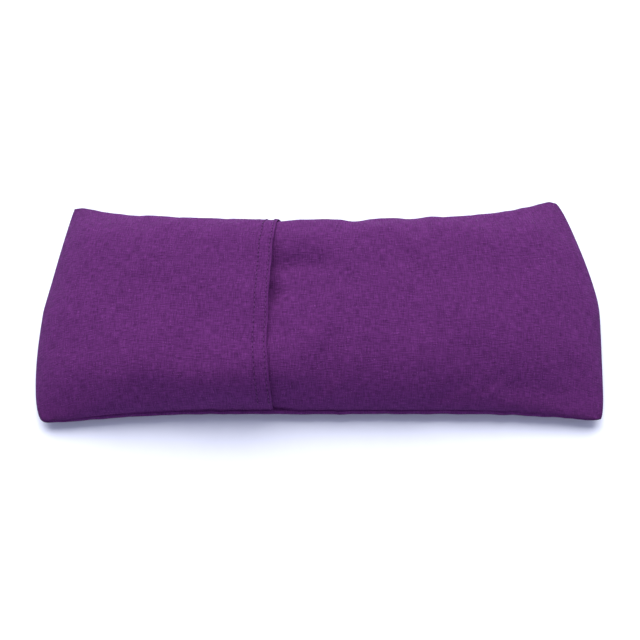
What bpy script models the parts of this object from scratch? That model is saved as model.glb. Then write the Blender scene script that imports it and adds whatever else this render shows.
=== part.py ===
"""Eye pillow: a seed-filled insert bag in a removable linen cover.

The cover is one strip of cloth. It folds over at both short ends, and its two hemmed ends
overlap on top and leave a mouth there, where the insert goes in. Both long sides are sewn shut.
The left end lies on top, and its free lip is the flap that lifts.

Frame: the origin is under the middle of the pillow, on the surface that it rests on. +X runs
along its length, +Y across it and +Z up. All sizes are in metres.
"""

import math
from collections import namedtuple

import bmesh
import bpy
from mathutils import Vector

# The filled pillow
LENGTH = 0.231
CROWN = 0.0250  # top of the right-hand panel above the resting surface

# Its outline, which the filling pushes out of shape: where the left and the right end stand out
# furthest, as shares across, and for each corner how far it lies behind that place, how the end
# curves back to it, and how far it stands out to the side
END_PEAK = (-0.10, -0.03)
PEAK_ROUND = 0.1  # share across over which the end is rounded there
CORNER_DEPTH = {"left front": 0.0043, "left back": 0.0060, "right front": 0.0046, "right back": 0.0100}
END_CURVE = {"left front": 2.4, "left back": 0.9, "right front": 0.95, "right back": 1.2}
CORNER_WIDTH = {"left front": 0.0532, "left back": 0.0500, "right front": 0.0518, "right back": 0.0535}
SIDE_CURVE = 3.6  # how late a long side spreads on the way from mid length to a corner
FRONT_WAIST = 0.0468  # half widths at mid length
BACK_WAIST = 0.0395

# Its section
EDGE_HEIGHT = 0.0066  # height of the side seams and of the folds' noses at mid length
CORNER_DROP = 0.0016  # how much lower the seams are at the corners
FLAT_LENGTH = 0.74  # share of the length that lies flat on the surface
FLAT_WIDTH = 0.72  # share of the width that lies flat on the surface
END_POWER = 4.0  # how square the long section is
SIDE_POWER = 4.2  # how square the cross section is
SIDE_SHARE = 0.62  # how steeply the top leaves the side seams

# The cover's cloth
CLOTH = 0.0008
LAYER_GAP = 0.0005  # between the flap and the panel under it
LIP_X = -0.0206  # the flap's lip where it lies furthest left
LIP_TURN = -0.45  # and that place's share of the half width
LIP_FRONT_SWEEP = 0.0022  # how far right of it the lip's front end lies
LIP_BACK_SWEEP = 0.0040  # and its back end
FLAP_LENGTH = 0.0414  # from the bend line to the lip's furthest left place
OVERLAP = 0.0514  # how far the panel reaches under the flap from there
SIDE_OPENING = 0.0030  # unsewn stretch of the side where the flap bends
FREE_WIDTH = 0.84  # share of the width of the panel's hidden end, between the seams
RAISED_WIDTH = 0.90  # share of the width over which the flap lies on the panel
BEND_GAP = 0.0004  # between the cover and the lifting part of the flap
FLAP_WIDTH = 0.965  # share of the width that lifts

# The insert
INSERT_PLAY = 0.0020  # how far the insert can slide each way
END_ROOM = 0.0028  # between the bag and the cover at the ends, beyond the play
SIDE_ROOM = 0.0034  # beside the bag, where the cover's seam allowances lie
CORNER_ROOM = 0.0045  # and how much wider that is at the corners, which the bag doesn't fill
TOP_ROOM = 0.0015  # above the bag, where the panel's hidden hem lies
BOTTOM_ROOM = 0.0010
BAG = 0.0005
RIM_ROOM = 0.0026  # between the bag's edge seam and the seeds
FILL_TOP_ROOM = 0.0010  # from the outside of the bag's upper panel down to the seeds
FILL_BOTTOM_ROOM = 0.0006

# Threads
THREAD_RADIUS = 0.00022
THREAD_CLEARANCE = 0.0003
EDGE_ROW = 0.0012  # from a hem's edge to its first row of stitches
HEM_ROW = 0.0056  # and to its second row
FLAP_ROW_END = 0.90  # share of the width that the flap's rows cross
PANEL_ROW_END = 0.70  # and the rows on the panel's hidden end
SEAM_DEPTH = 0.0023  # of a side seam's thread behind the seam's edge
SEAM_END = 0.90  # share of the length that the side seams' threads run
CLOSING_END = 0.42  # share of the width that the insert's hand-sewn gap takes
CLOSING_PLACE = 0.985  # share of the half length at which that gap lies

# Mesh density
ACROSS = 12
LEFT_ROWS = 5
UNDER_ROWS = 2
RIGHT_ROWS = 14
FLAP_ROWS = 6
THREAD_STEPS = 24
SHORT_STEPS = 12
SPREAD = 0.92  # how strongly rows crowd towards the edges, from 0 to 1
SLOPE_STEP = 0.004  # share of the half sizes over which a slope is measured
SEAM_MERGE = 0.00001

Inset = namedtuple("Inset", "x y corner top bottom")
COVER = Inset(0.0, 0.0, 0.0, 0.0, 0.0)
INSERT = Inset(
    x=CLOTH + INSERT_PLAY + END_ROOM,
    y=CLOTH + SIDE_ROOM,
    corner=CORNER_ROOM,
    top=CLOTH + TOP_ROOM,
    bottom=CLOTH + BOTTOM_ROOM,
)
FILL = Inset(
    x=INSERT.x + RIM_ROOM,
    y=INSERT.y + RIM_ROOM,
    corner=CORNER_ROOM,
    top=INSERT.top + FILL_TOP_ROOM,
    bottom=INSERT.bottom + FILL_BOTTOM_ROOM,
)

BEND_X = LIP_X - FLAP_LENGTH
HEM_X = LIP_X - OVERLAP
BEND = BEND_X / (LENGTH / 2)
HEM = HEM_X / (LENGTH / 2)
SEWN = BEND + SIDE_OPENING / (LENGTH / 2)


# ---------------------------------------------------------------- the pillow's shape


def ease(share):
    """A smooth step from 0 to 1."""
    share = min(1.0, max(0.0, share))
    return share * share * (3.0 - 2.0 * share)


def spread(start, end, steps):
    """Shares from start to end, closer together towards -1 and 1."""
    low = math.asin(start * math.sin(SPREAD * math.pi / 2))
    high = math.asin(end * math.sin(SPREAD * math.pi / 2))
    angles = [low + (high - low) * step / steps for step in range(steps + 1)]
    return [math.sin(angle) / math.sin(SPREAD * math.pi / 2) for angle in angles]


def even_shares(end, steps):
    """Shares from -end to end, evenly apart."""
    return [end * (2.0 * step / steps - 1.0) for step in range(steps + 1)]


def corner(s, t):
    """Name of the corner in whose quarter a place lies."""
    return ("left" if s < 0.0 else "right") + (" front" if t < 0.0 else " back")


def corner_cut(s, t):
    """How much shorter the half length is at share t of the half width."""
    peak = END_PEAK[0] if s < 0.0 else END_PEAK[1]
    nearest = corner(s, t - peak)
    furthest = 1.0 + peak if t < peak else 1.0 - peak
    full = math.hypot(furthest, PEAK_ROUND) - PEAK_ROUND
    share = (math.hypot(t - peak, PEAK_ROUND) - PEAK_ROUND) / full
    return CORNER_DEPTH[nearest] * share ** END_CURVE[nearest] * abs(s) ** 3


def half_width(s, t, inset):
    """Distance of a long side from the middle line, at share s of the half length."""
    waist = FRONT_WAIST if t < 0.0 else BACK_WAIST
    spread_out = CORNER_WIDTH[corner(s, t)] - inset.corner - waist
    return waist + spread_out * abs(s) ** SIDE_CURVE - inset.y


def plan_point(s, t, inset):
    """Plan position at share s of the half length and share t of the half width."""
    half_length = LENGTH / 2 - corner_cut(s, t) - inset.x
    return s * half_length, t * half_width(s, t, inset)


def edge_height(s):
    """Height of the seam or fold that joins the top to the bottom."""
    return EDGE_HEIGHT - CORNER_DROP * s ** 4


def top_point(s, t, inset=COVER):
    """A point of the crowned top, which falls to the edge all round."""
    x, y = plan_point(s, t, inset)
    along = math.sqrt(max(0.0, 1.0 - abs(s) ** END_POWER))
    across = max(0.0, 1.0 - abs(t) ** SIDE_POWER) ** SIDE_SHARE
    edge = edge_height(s)
    return Vector((x, y, edge + (CROWN - inset.top - edge) * along * across))


def flat_share(share, flat):
    """How far the rounded rim of the bottom stays down: 1 on the flat, 0 at the edge."""
    beyond = max(0.0, abs(share) - flat) / (1.0 - flat)
    return math.sqrt(max(0.0, 1.0 - beyond * beyond))


def bottom_point(s, t, inset=COVER):
    """A point of the bottom, which is flat in the middle and rounds up to the edge."""
    x, y = plan_point(s, t, inset)
    down = flat_share(s, FLAT_LENGTH) * flat_share(t, FLAT_WIDTH)
    edge = edge_height(s)
    return Vector((x, y, edge - (edge - inset.bottom) * down))


def raised_point(s, t, distance, inset=COVER):
    """The point that stands a distance off the top, along its outward normal."""
    limit = 1.0 - 2.0 * SLOPE_STEP
    s_in = min(limit, max(-limit, s))
    t_in = min(limit, max(-limit, t))
    along = top_point(s_in + SLOPE_STEP, t_in, inset) - top_point(s_in - SLOPE_STEP, t_in, inset)
    across = top_point(s_in, t_in + SLOPE_STEP, inset) - top_point(s_in, t_in - SLOPE_STEP, inset)
    return top_point(s, t, inset) + along.cross(across).normalized() * distance


def station(x, t):
    """Share of the half length at which a line across the pillow has the place x."""
    return x / (LENGTH / 2 - corner_cut(x / (LENGTH / 2), t))


# ---------------------------------------------------------------- building helpers


def new_material(name, color, roughness, sheen=0.0):
    material = bpy.data.materials.new(name)
    material.use_nodes = True
    shader = material.node_tree.nodes["Principled BSDF"]
    shader.inputs["Base Color"].default_value = (*color, 1.0)
    shader.inputs["Roughness"].default_value = roughness
    shader.inputs["Metallic"].default_value = 0.0
    shader.inputs["Sheen Weight"].default_value = sheen
    return material


def add_piece(name, data, material):
    piece = bpy.data.objects.new(name, data)
    piece.data.materials.append(material)
    PILLOW.objects.link(piece)
    return piece


def carried_grid(mesh, rows, columns, place):
    """Add a flat grid to the bmesh and carry each of its points to place(row, column)."""
    made = bmesh.ops.create_grid(mesh, x_segments=columns - 1, y_segments=rows - 1, size=1.0)
    for vert in made["verts"]:
        row = round((vert.co.y + 1.0) / 2.0 * (rows - 1))
        column = round((vert.co.x + 1.0) / 2.0 * (columns - 1))
        vert.co = place(row, column)


def finished_mesh(mesh, name):
    """Weld the points that meet, turn the faces outwards and return plain mesh data."""
    bmesh.ops.remove_doubles(mesh, verts=mesh.verts, dist=SEAM_MERGE)
    bmesh.ops.recalc_face_normals(mesh, faces=mesh.faces)
    data = bpy.data.meshes.new(name)
    mesh.to_mesh(data)
    mesh.free()
    data.shade_smooth()
    return data


def thicken(piece, thickness):
    """Give a sheet its cloth thickness, on the inner side of its faces."""
    shell = piece.modifiers.new("cloth thickness", "SOLIDIFY")
    shell.thickness = thickness
    shell.offset = -1.0
    shell.use_even_offset = False


def add_thread(name, points, material, cyclic=False):
    """A row of stitches as one tube through its points."""
    curve = bpy.data.curves.new(name, "CURVE")
    curve.dimensions = "3D"
    curve.bevel_depth = THREAD_RADIUS
    curve.bevel_resolution = 1
    curve.use_fill_caps = not cyclic
    spline = curve.splines.new("POLY")
    spline.points.add(len(points) - 1)
    for knot, point in zip(spline.points, points):
        knot.co = (*point, 1.0)
    spline.use_cyclic_u = cyclic
    return add_piece(name, curve, material)


def moved_to_axis(piece, axis_point):
    """Put the piece's origin on its joint's axis and leave its shape where it is."""
    for vert in piece.data.vertices:
        vert.co -= axis_point
    piece.location = axis_point


# ---------------------------------------------------------------- the cover


def flap_step(s, t):
    """How far the flap stands off the panel's surface: nothing at the seams and the fold."""
    across = ease((1.0 - abs(t)) / (1.0 - RAISED_WIDTH))
    along = ease((s + 1.0) / (HEM + 1.0))
    return (CLOTH + LAYER_GAP) * across * along


def make_cover_strip(material):
    """The strip: flap, left fold, bottom, right fold, and the panel that runs under the flap."""
    columns = spread(-1.0, 1.0, ACROSS)
    left = spread(-1.0, HEM, LEFT_ROWS)
    under = [HEM + (BEND - HEM) * step / UNDER_ROWS for step in range(1, UNDER_ROWS + 1)]
    right = spread(SEWN, 1.0, RIGHT_ROWS)
    stations = left + under + right
    flap = [s for s in reversed(stations) if s <= BEND]
    panel = [s for s in reversed(stations) if s >= HEM]
    rows = [("flap", s) for s in flap]
    rows += [("bottom", s) for s in stations[1:]]
    rows += [("panel", s) for s in panel[1:]]

    def place(row, column):
        layer, s = rows[row]
        t = columns[column]
        if layer == "flap":
            return raised_point(s, t, flap_step(s, t))
        if layer == "bottom":
            return bottom_point(s, t)
        return top_point(s, t if s >= SEWN else t * FREE_WIDTH)

    mesh = bmesh.new()
    carried_grid(mesh, len(rows), len(columns), place)
    strip = add_piece("cover_strip", finished_mesh(mesh, "cover_strip"), material)
    thicken(strip, CLOTH)


def lip_x(t):
    """The lip's place along X at share t of the half width."""
    if t < LIP_TURN:
        return LIP_X + LIP_FRONT_SWEEP * ((LIP_TURN - t) / (1.0 + LIP_TURN)) ** 2.6
    return LIP_X + LIP_BACK_SWEEP * ((t - LIP_TURN) / (1.0 - LIP_TURN)) ** 2


def make_flap_lip(material):
    """The flap's lifting part, from the bend line to the lip."""
    columns = spread(-1.0, 1.0, ACROSS)
    base = BEND + BEND_GAP / (LENGTH / 2)

    def place(row, column):
        t = columns[column] * FLAP_WIDTH
        share = row / FLAP_ROWS
        s = base + (station(lip_x(t), t) - base) * share
        return raised_point(s, t, CLOTH + LAYER_GAP)

    mesh = bmesh.new()
    carried_grid(mesh, FLAP_ROWS + 1, len(columns), place)
    lip = add_piece("flap_lip", finished_mesh(mesh, "flap_lip"), material)
    moved_to_axis(lip, Vector((BEND_X, 0.0, hinge_height())))
    thicken(lip, CLOTH)


def hinge_height():
    """Height of the flap's bend line at mid width, in the middle of the cloth."""
    return raised_point(BEND, 0.0, LAYER_GAP + CLOTH / 2).z


def make_hem_rows(material):
    """Two rows of stitches along each hem: on the flap's lip and under the panel's hidden end."""
    clearance = THREAD_CLEARANCE + THREAD_RADIUS
    above_flap = CLOTH + LAYER_GAP + clearance
    below_panel = -CLOTH - clearance
    for name, distance in (("flap_edge_stitch", EDGE_ROW), ("flap_hem_stitch", HEM_ROW)):
        shares = even_shares(FLAP_ROW_END, THREAD_STEPS)
        row = [raised_point(station(lip_x(t) - distance, t), t, above_flap) for t in shares]
        add_thread(name, row, material)
    for name, distance in (("panel_edge_stitch", EDGE_ROW), ("panel_hem_stitch", HEM_ROW)):
        shares = even_shares(PANEL_ROW_END, THREAD_STEPS)
        row = [raised_point(station(HEM_X + distance, t), t, below_panel) for t in shares]
        add_thread(name, row, material)


def make_side_seams(material):
    """The thread of each long seam, in the corner between the top and the bottom cloth."""
    for name, side in (("side_seam_front", -1.0), ("side_seam_back", 1.0)):
        row = []
        for s in even_shares(SEAM_END, THREAD_STEPS):
            x, y = plan_point(s, side, COVER._replace(y=SEAM_DEPTH))
            row.append((x, y, edge_height(s)))
        add_thread(name, row, material)


# ---------------------------------------------------------------- the insert


def add_sheet(mesh, surface, inset, lift):
    """Add one crowned sheet of the insert to the bmesh, raised by lift."""
    columns = spread(-1.0, 1.0, ACROSS)
    stations = spread(-1.0, 1.0, RIGHT_ROWS)

    def place(row, column):
        return surface(stations[row], columns[column], inset) + Vector((0.0, 0.0, lift))

    carried_grid(mesh, len(stations), len(columns), place)


def make_insert_bag(material):
    """The bag's two panels, which meet at the edge seam with a small gap."""
    panels = (
        ("insert_bag_upper", top_point, BAG, False),
        ("insert_bag_lower", bottom_point, -BAG, True),
    )
    for name, surface, lift, faces_down in panels:
        mesh = bmesh.new()
        add_sheet(mesh, surface, INSERT, lift)
        data = finished_mesh(mesh, name)
        if (data.polygons[len(data.polygons) // 2].normal.z < 0.0) != faces_down:
            data.flip_normals()
        panel = add_piece(name, data, material)
        thicken(panel, BAG)


def make_fill(material):
    """The seeds as one closed body, welded from a top and a bottom sheet."""
    mesh = bmesh.new()
    add_sheet(mesh, top_point, FILL, 0.0)
    add_sheet(mesh, bottom_point, FILL, 0.0)
    add_piece("flax_and_lavender_fill", finished_mesh(mesh, "flax_and_lavender_fill"), material)


def insert_edge(s, t, outwards):
    """A point beside the bag's edge, at its seam's height."""
    x, y = plan_point(s, t, INSERT._replace(x=INSERT.x - outwards, y=INSERT.y - outwards))
    return Vector((x, y, edge_height(s)))


def make_insert_threads(material):
    """The seam round the bag, and the hand-sewn row that closes its filling gap."""
    outwards = THREAD_CLEARANCE + THREAD_RADIUS
    long_side = even_shares(1.0, THREAD_STEPS)[:-1]
    short_side = even_shares(1.0, SHORT_STEPS)[:-1]
    ring = [insert_edge(s, -1.0, outwards) for s in long_side]
    ring += [insert_edge(1.0, t, outwards) for t in short_side]
    ring += [insert_edge(-s, 1.0, outwards) for s in long_side]
    ring += [insert_edge(-1.0, -t, outwards) for t in short_side]
    add_thread("insert_seam", ring, material, cyclic=True)
    shares = even_shares(CLOSING_END, SHORT_STEPS)
    row = [raised_point(CLOSING_PLACE, t, 2.0 * outwards, INSERT) for t in shares]
    add_thread("insert_closing_stitch", row, material)


# ---------------------------------------------------------------- the whole pillow

for old in list(bpy.data.objects):
    bpy.data.objects.remove(old, do_unlink=True)

PILLOW = bpy.data.collections.new("eye_pillow")
bpy.context.scene.collection.children.link(PILLOW)

linen = new_material("purple_linen", (0.150, 0.032, 0.190), 0.92, sheen=0.3)
linen_thread = new_material("purple_thread", (0.120, 0.026, 0.155), 0.75)
muslin = new_material("unbleached_muslin", (0.640, 0.580, 0.450), 0.95)
muslin_thread = new_material("cream_thread", (0.700, 0.650, 0.540), 0.80)
seeds = new_material("flax_seed", (0.230, 0.110, 0.045), 0.45)

make_cover_strip(linen)
make_flap_lip(linen)
make_hem_rows(linen_thread)
make_side_seams(linen_thread)
make_insert_bag(muslin)
make_insert_threads(muslin_thread)
make_fill(seeds)
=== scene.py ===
import math

import bpy
import numpy as np
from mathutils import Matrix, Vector


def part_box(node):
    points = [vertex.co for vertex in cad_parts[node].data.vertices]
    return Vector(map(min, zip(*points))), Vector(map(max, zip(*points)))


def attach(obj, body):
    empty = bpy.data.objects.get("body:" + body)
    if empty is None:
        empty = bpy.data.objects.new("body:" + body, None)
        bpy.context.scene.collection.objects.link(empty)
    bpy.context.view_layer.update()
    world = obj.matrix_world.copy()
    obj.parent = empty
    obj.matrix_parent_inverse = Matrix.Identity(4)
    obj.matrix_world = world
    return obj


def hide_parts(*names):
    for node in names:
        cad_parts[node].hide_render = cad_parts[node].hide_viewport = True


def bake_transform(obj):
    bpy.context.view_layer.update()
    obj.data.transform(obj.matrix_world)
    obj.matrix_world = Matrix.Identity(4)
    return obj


# Looks of the seed-filled eye pillow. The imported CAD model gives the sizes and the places; this
# script makes the fine cloth, the stitches, the insert bag, the seeds, the light and the camera.
# All sizes are in metres. +X runs along the pillow, +Y across it, +Z up.
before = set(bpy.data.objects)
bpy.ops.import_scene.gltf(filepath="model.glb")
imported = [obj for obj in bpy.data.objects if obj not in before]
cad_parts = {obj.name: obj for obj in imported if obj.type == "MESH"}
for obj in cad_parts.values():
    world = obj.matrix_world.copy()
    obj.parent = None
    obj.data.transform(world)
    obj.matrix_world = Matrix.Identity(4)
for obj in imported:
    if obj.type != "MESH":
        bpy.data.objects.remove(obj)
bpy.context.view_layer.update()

# ---- sizes that come from the CAD
STRIP_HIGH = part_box("cover_strip")[1]
LIP_BOX_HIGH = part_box("flap_lip")[1]
HALF_LENGTH = STRIP_HIGH.x
HALF_WIDTH = STRIP_HIGH.y
FLAP_STEP = 0.0005  # how much of the CAD strip's height is the flap's step
CROWN = STRIP_HIGH.z - FLAP_STEP
LIP_BOW = 0.00377  # how far right of its leftmost place the CAD's lip reaches
LIP_X = LIP_BOX_HIGH.x - LIP_BOW
FLAP_REACH = HALF_LENGTH + LIP_X  # from there to the left fold

# ---- the flap's places
LIP_TURN = -0.45  # where the lip lies furthest left, as a share of the half width
LIP_BACK_SWEEP = 0.0037  # its back end lies this far right of that
LIP_FRONT_SWEEP = 0.0022  # and its front end
HEM_X = -0.072  # the hidden end of the panel under the flap

# ---- the sections
EDGE_HEIGHT = 0.0070  # where top and bottom meet, at mid length
CORNER_DROP = 0.0021  # and how much lower they meet at the ends
FLAT_LENGTH = 0.74  # the pillow rests flat on these shares of its half length and half width
FLAT_WIDTH = 0.79
LEFT_POWER = 4  # how square the long section is towards each end
RIGHT_POWER = 2.4
FRONT_POWER = 4.5  # how square the cross section is towards the front and the back
BACK_POWER = 4.2
SIDE_SHARE = 0.62  # a smaller share makes both sides steeper
FLAP_FULLNESS = 5  # how much squarer the front of the section is under the flap
RIGHT_SLACK = 0.7  # and how much rounder it is towards the right end

# ---- the outline, corner by corner
# A row of four has a value for the left front, left back, right front and right back corner.
END_DEPTH = (0.0043, 0.0054, 0.0046, 0.0097)  # how far it lies behind its end's furthest place
END_CURVE = (2.4, 0.78, 0.92, 1.21)  # and how late the end curves back to it
END_PEAK = (-0.10, -0.03)  # where the left and the right end reach furthest, as shares across
LEFT_REACH = 0.9930  # those furthest places, as shares of the CAD's half length
RIGHT_REACH = 1.0043
CORNER_ROUND = (0.0016, 0.0004, 0.0010, 0.0009)  # how much rounding takes off it
CORNER_WIDTH = (0.0530, 0.0503, 0.0515, 0.0537)  # its half width
CORNER_START = (1, 0.97, 0.98, 0.965)  # the share along at which that width is reached
SIDE_CURVE = (3.8, 4, 5.4, 3.1)  # and how late the side widens to it
CORNER_BLEND = 0.02  # softens the outline where it is reached
FRONT_WAIST = 0.0468  # the half widths at mid length
BACK_WAIST = 0.0392
# two small swellings of the back edge: their places along, heights and widths
BACK_SWELLS = ((0.25, 0.0008, 0.08), (0.42, 0.0006, 0.035))
# how much less the filling lifts the cloth towards the corners, and how late on the way there
CORNER_THIN = (0.56, 0.56, 0.62, 0.56)
THIN_CURVE = (4, 6, 1.6, 6)
THIN_ACROSS = 2.3

# How far a layer lies inside the pillow's outside: at its ends and sides, under the top, above
# the bottom, and how much further at the sides of its corners.
OUTSIDE = {"ends": 0, "sides": 0, "top": 0, "bottom": 0, "corners": 0}
BAG_INSET = {"ends": 0.0064, "sides": 0.0050, "top": 0.0028, "bottom": 0.0021, "corners": 0.0045}
FILL_INSET = {"ends": 0.0094, "sides": 0.0078, "top": 0.0042, "bottom": 0.0032, "corners": 0.0045}
CORNER_POWER = 3.6  # how late on the way to a corner that last distance grows

# ---- the cloth
LINEN = 0.00038  # thickness of the linen
MUSLIN = 0.0003  # and of the bag's muslin
FOLD_RADIUS = 0.0004  # of a hem's turned edge
HEM_WIDTH = 0.0066
EDGE_ROW = 0.0012  # the rows of stitches, as distances from a hem's edge
HEM_ROW = 0.0055
LAYER_RISE = 0.0008  # the flap's outside above the panel's outside
HEM_RISE = 0.0010  # the same where the hem lies between them
HEM_FADE = (0.0160, 0.0100)  # how far behind the lip that ends, and over what length
PANEL_FADE = (0.055, 0.022)  # and where the panel under the flap fades
LIP_GAPE = 0.0008  # how much more the lip stands off at mid width
GAPE_REACH = 0.0070
ROW_DIP = 0.00016  # how deep a row of stitches pulls the cloth in
ROW_WIDTH = 0.00045
PANEL_SINK = 0.0008  # how far the panel lies inside the flap at the side seams
SEWN_X = -0.057  # the panel is free of the seams to the left of this
FREE_SHARE = 0.86
JUNCTION_X = -0.060  # where the flap's cloth and the strip's meet on the underside

# ---- the side seams
ALLOWANCE = 0.0020  # cloth turned in behind a side seam
TURNED_SHARES = np.array([0.18, 0.4, 0.7, 1])  # the places of its columns
SEAM_GAP = 0.0001  # half the gap between the layers in a seam
GROOVE = 0.0014
GROOVE_HEIGHT = 0.0015
GROOVE_LEAST = 0.45  # shares of that far from the lip, and how much more near it
GROOVE_MORE = 0.95
GROOVE_LEFT = 0.018  # how far left of the lip it is deepest
GROOVE_SPREAD = 0.045
PUCKER_SHARE = 0.18  # how much the puckers vary the groove
PUCKER = 0.00014  # and the cloth beside it, as far as this
PUCKER_REACH = 0.004
BULGE = 0.0011  # how far the bottom panel swells out under a side seam
BULGE_DROP = 0.0024
BULGE_HEIGHT = 0.0018

# Uneven fields of the cloth: the height, the wave length and the random seed of each.
FIELDS = {
    "soft": (0.00024, 0.034, 5),
    "fine": (0.00006, 0.013, 6),
    "lip": (0.00012, 0.022, 21),
    "pucker": (1, 0.0095, 31),
    "seam": (0.00014, 0.0105, 32),
    "gape": (0.22, 0.026, 41),
    "panel": (0.00038, 0.017, 51),
    "bag": (0.00025, 0.008, 61),
}
FIELD_WAVES = 32
FIELD_SPREAD = 0.3  # how much the waves of a field differ in length

COARSE = 0.00088  # distances between rows and columns
FINE = 0.00036


# ---- the pillow's shape


def ease(share):
    """A smooth step from 0 to 1."""
    share = np.clip(share, 0, 1)
    return share * share * (3 - 2 * share)


def bell(distance):
    """1 at no distance and soon nothing beyond 1."""
    return np.exp(-(distance ** 2))


def by_corner(values, s, t):
    """Each point's value out of four, by the quarter of the pillow that it lies in."""
    left_front, left_back, right_front, right_back = values
    left = np.where(t < 0, left_front, left_back)
    right = np.where(t < 0, right_front, right_back)
    return np.where(s < 0, left, right)


def half_width(s, t):
    """The outline's distance from the middle line, at a share s along."""
    waist = np.where(t < 0, FRONT_WAIST, BACK_WAIST)
    short = np.maximum(0, 1 - np.abs(s) / by_corner(CORNER_START, s, t))
    share = 1 - np.hypot(short, CORNER_BLEND)
    spread = np.maximum(share, 0) ** by_corner(SIDE_CURVE, s, t)
    swell = 0
    for place, height, width in BACK_SWELLS:
        swell = swell + height * bell((s - place) / width)
    swell = np.where(t < 0, 0, swell)
    return waist + swell + (by_corner(CORNER_WIDTH, s, t) - waist) * spread


def end_depth(s, t):
    """How far the end's outline has come back, at a share t across."""
    peak = np.where(s < 0, END_PEAK[0], END_PEAK[1])
    beyond = np.hypot(t - peak, 0.1) - 0.1
    most = np.hypot(np.where(t < peak, 1 + peak, 1 - peak), 0.1) - 0.1
    quarter = np.where(t < peak, -1, 1)
    return by_corner(END_DEPTH, s, quarter) * (beyond / most) ** by_corner(END_CURVE, s, quarter)


def plan(s, t, inset):
    """Plan position at share s of the half length and share t of the half width."""
    rounded = by_corner(CORNER_ROUND, s, t) * np.abs(s * t) ** 14
    reach = np.where(s < 0, LEFT_REACH, RIGHT_REACH) - 1
    bow = (end_depth(s, t) - reach * HALF_LENGTH) * np.abs(s) ** 3
    x = s * (HALF_LENGTH - bow - rounded - inset["ends"])
    at_corner = inset["corners"] * np.abs(s) ** CORNER_POWER
    y = t * (half_width(s, t) - rounded - inset["sides"] - at_corner)
    return x, y


def edge_height(s):
    return EDGE_HEIGHT - CORNER_DROP * s ** 4


def flat_share(share, flat):
    """1 on the flat part, and down to 0 at the edge along a quarter circle."""
    beyond = np.maximum(0, np.abs(share) - flat) / (1 - flat)
    return np.sqrt(np.maximum(0, 1 - beyond * beyond))


def filled_share(s, t):
    """How much of the crown's height the filling reaches."""
    long_power = np.where(s < 0, LEFT_POWER, RIGHT_POWER)
    along = np.sqrt(np.maximum(0, 1 - np.abs(s) ** long_power))
    fuller = FLAP_FULLNESS * ease((0.05 - s) / 0.35) * ease((1.1 + s) / 0.8)
    slack = RIGHT_SLACK * ease((s - 0.2) / 0.4)
    power = np.where(t < 0, FRONT_POWER + fuller - slack, BACK_POWER)
    across = np.maximum(0, 1 - np.abs(t) ** power) ** SIDE_SHARE
    thin = np.abs(s) ** by_corner(THIN_CURVE, s, t) * np.abs(t) ** THIN_ACROSS
    return along * across * (1 - by_corner(CORNER_THIN, s, t) * thin)


def smooth_form(s, t, layer, inset=OUTSIDE):
    """The pillow's plain form: a crowned top and a bottom that is flat where it rests."""
    x, y = plan(s, t, inset)
    edge = edge_height(s)
    if layer == "top":
        z = edge + (CROWN - inset["top"] - edge) * filled_share(s, t)
    else:
        down = flat_share(s, FLAT_LENGTH) * flat_share(t, FLAT_WIDTH)
        z = edge - (edge - inset["bottom"]) * down
    return np.stack([x, y, z], -1)


# ---- simulated creases

SIM_ROWS = 100
SIM_COLUMNS = 44
SIM_CROWDING = 0.92  # how much closer together the rows lie at the edges
SIM_SCALE = 10  # it is simulated this much larger
SIM_FRAMES = 25
SIM_GROW = 0.012  # how much the cloth grows, and how much its seams gather
SIM_GATHER = 0.05
SIM_SEAM = ((0, 1), (1, 0.6))  # the columns that a seam gathers, and how much
SIM_REST = (0.80, 0.72)  # the shares on which the bottom is held still
CREASE_GAIN = 0.35
CREASE_LIMIT = 0.0010
BLUR_STEPS = 160


def sim_shares(count):
    even = np.linspace(-1, 1, count + 1)
    crowded = np.sin(even * SIM_CROWDING * math.pi / 2) / math.sin(SIM_CROWDING * math.pi / 2)
    return 0.6 * crowded + 0.4 * even


def quads(ids):
    """Faces between neighbours of a grid of vertex numbers."""
    return np.stack([ids[:-1, :-1], ids[1:, :-1], ids[1:, 1:], ids[:-1, 1:]], -1).reshape(-1, 4)


def closed_grid(shape):
    """Vertex numbers and faces of two sheets with a shared rim, and which points lie inside it."""
    top_ids = np.arange(shape[0] * shape[1]).reshape(shape)
    inner = np.zeros(shape, bool)
    inner[1:-1, 1:-1] = True
    bottom_ids = top_ids.copy()
    bottom_ids[inner] = top_ids.size + np.arange(inner.sum())
    faces = np.concatenate([quads(top_ids), quads(bottom_ids)[:, ::-1]])
    return top_ids, bottom_ids, faces, inner


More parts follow.
